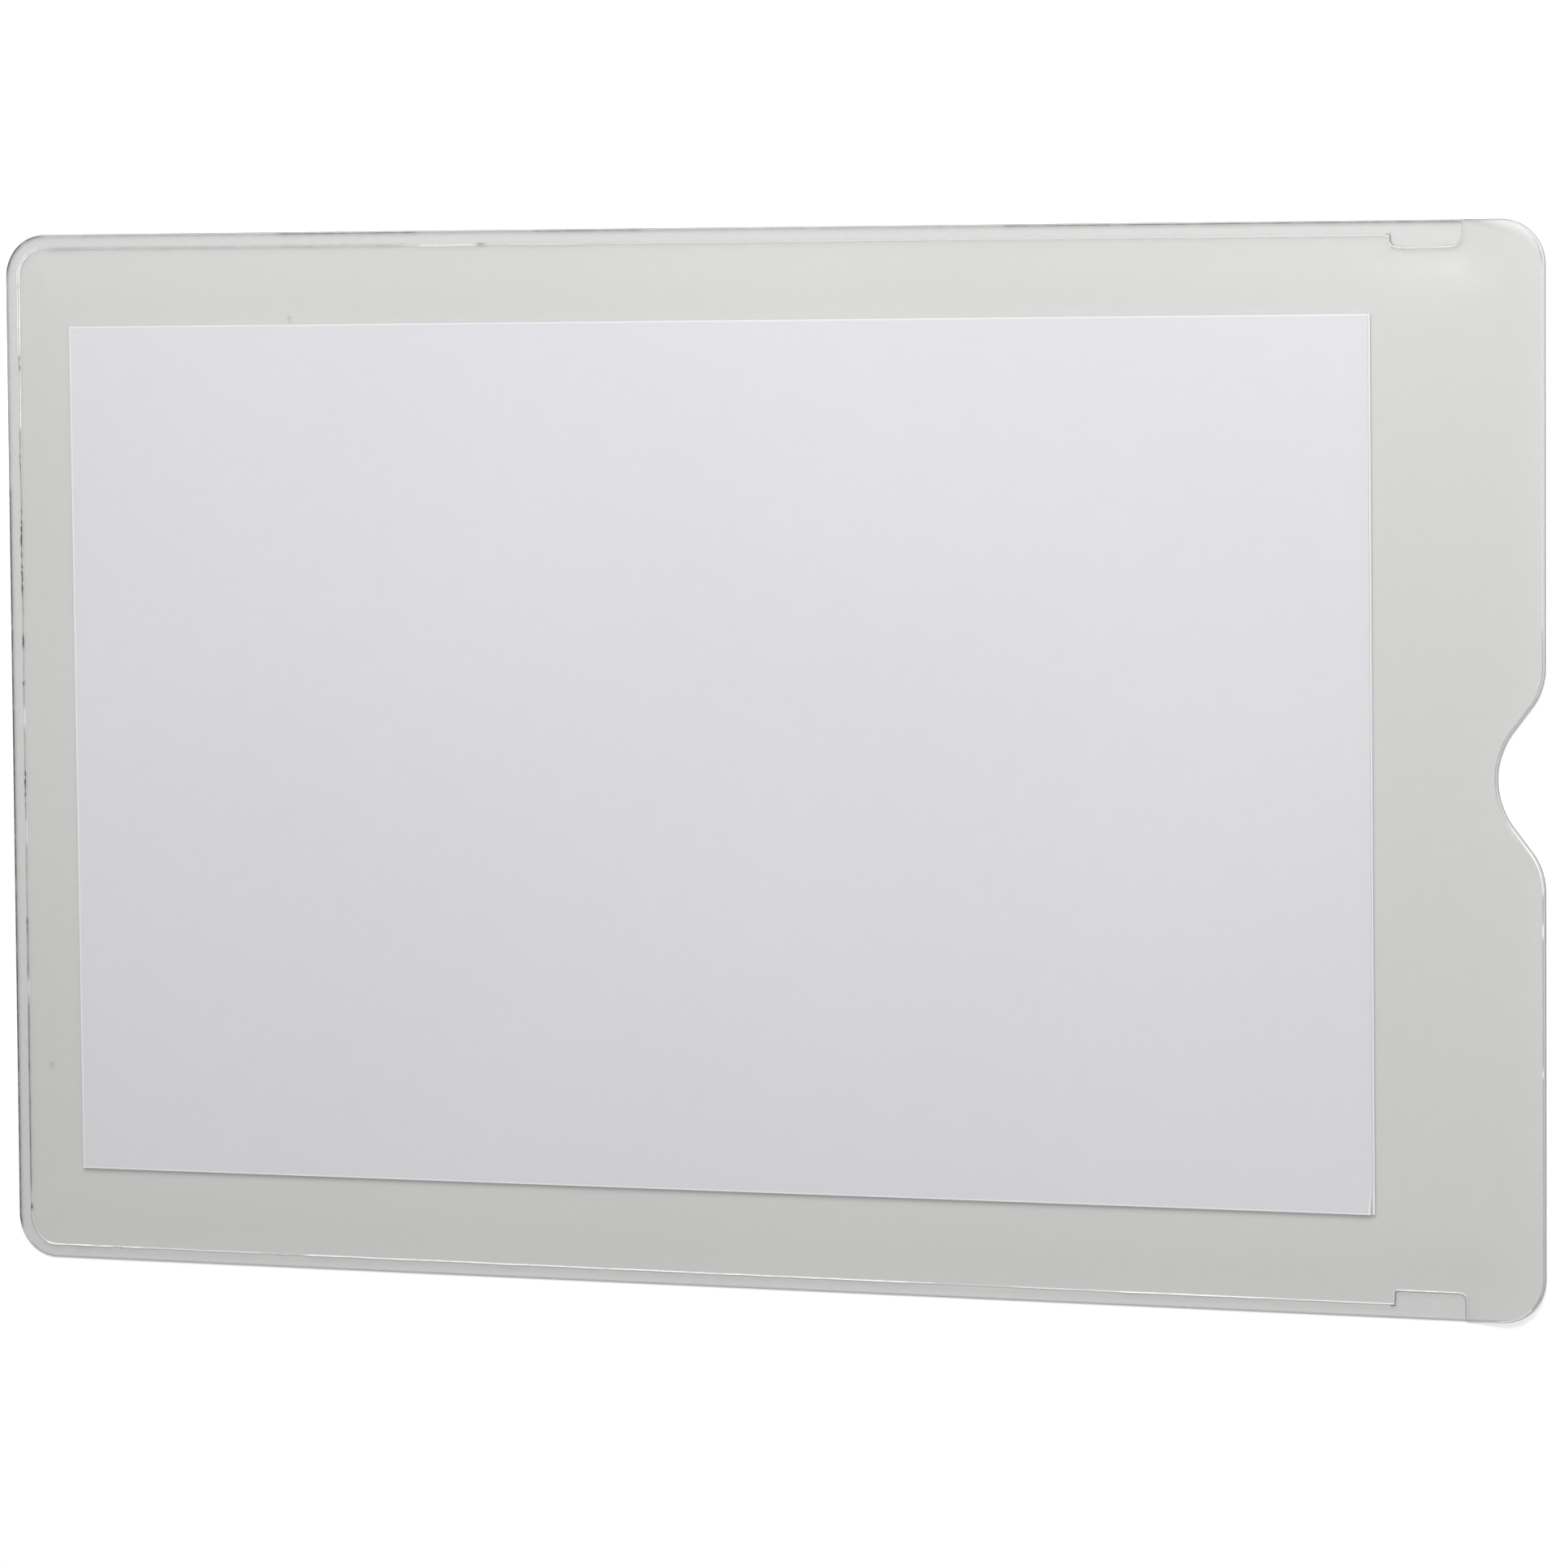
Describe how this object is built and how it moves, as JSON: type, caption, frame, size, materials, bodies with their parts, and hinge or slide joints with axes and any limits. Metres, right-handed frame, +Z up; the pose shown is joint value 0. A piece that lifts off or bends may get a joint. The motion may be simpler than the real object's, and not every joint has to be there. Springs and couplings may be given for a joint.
{
  "type": "vinyl envelope jacket",
  "caption": "Flat clear vinyl jacket welded round its closed edges, open at a thumb-notched end, holding a plain white paper insert.",
  "frame": {"origin": "under the middle of the back ply, on the surface that the jacket lies on", "axes": "+X along the jacket towards its open mouth, +Y towards the upper long edge, +Z up out of the front ply"},
  "size_m": [0.2396, 0.1544, 0.0019],
  "materials": {
    "back_film": "clear pliable vinyl, smooth",
    "front_film": "clear pliable vinyl, smooth, pressed along the weld",
    "rear_paper": "plain uncoated white stock",
    "front_paper": "plain uncoated white stock"
  },
  "bodies": {
    "root": {"back_ply": "back_film", "front_ply": "front_film", "rear_leaf": "rear_paper", "front_leaf": "front_paper"}
  },
  "joints": []
}
